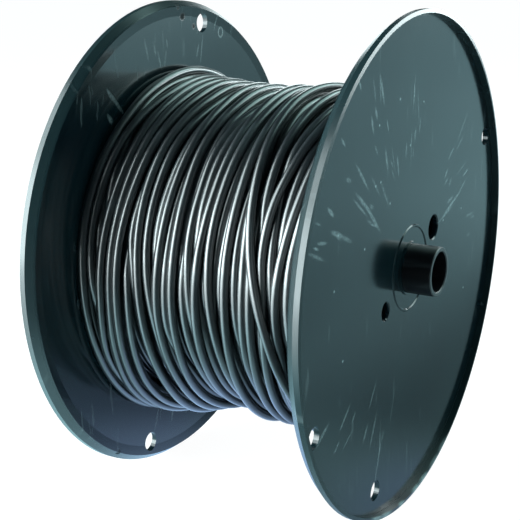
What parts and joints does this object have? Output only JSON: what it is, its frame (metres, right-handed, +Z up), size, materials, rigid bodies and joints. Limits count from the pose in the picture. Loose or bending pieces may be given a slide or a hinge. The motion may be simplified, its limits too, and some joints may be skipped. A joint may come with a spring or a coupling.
{
  "type": "cable drum",
  "caption": "Moulded plastic cable drum with two round lipped flanges and a hub tube, wound with black single-core cable, lying on its rims.",
  "frame": {"origin": "on the floor under the drum, midway between the flanges, straight below the drum axis", "axes": "+X along the drum axis towards the front flange, +Z up"},
  "size_m": [0.202, 0.3, 0.3],
  "materials": {
    "flange_plastic": "moulded black plastic, semi-gloss, fine scuffs",
    "barrel_plastic": "plain moulded black plastic",
    "tube_plastic": "matt black plastic pipe",
    "cable_jacket": "satin black cable jacket"
  },
  "bodies": {
    "root": {"front_flange": "flange_plastic", "rear_flange": "flange_plastic", "barrel": "barrel_plastic", "hub_tube": "tube_plastic", "cable_winding": "cable_jacket"}
  },
  "joints": []
}
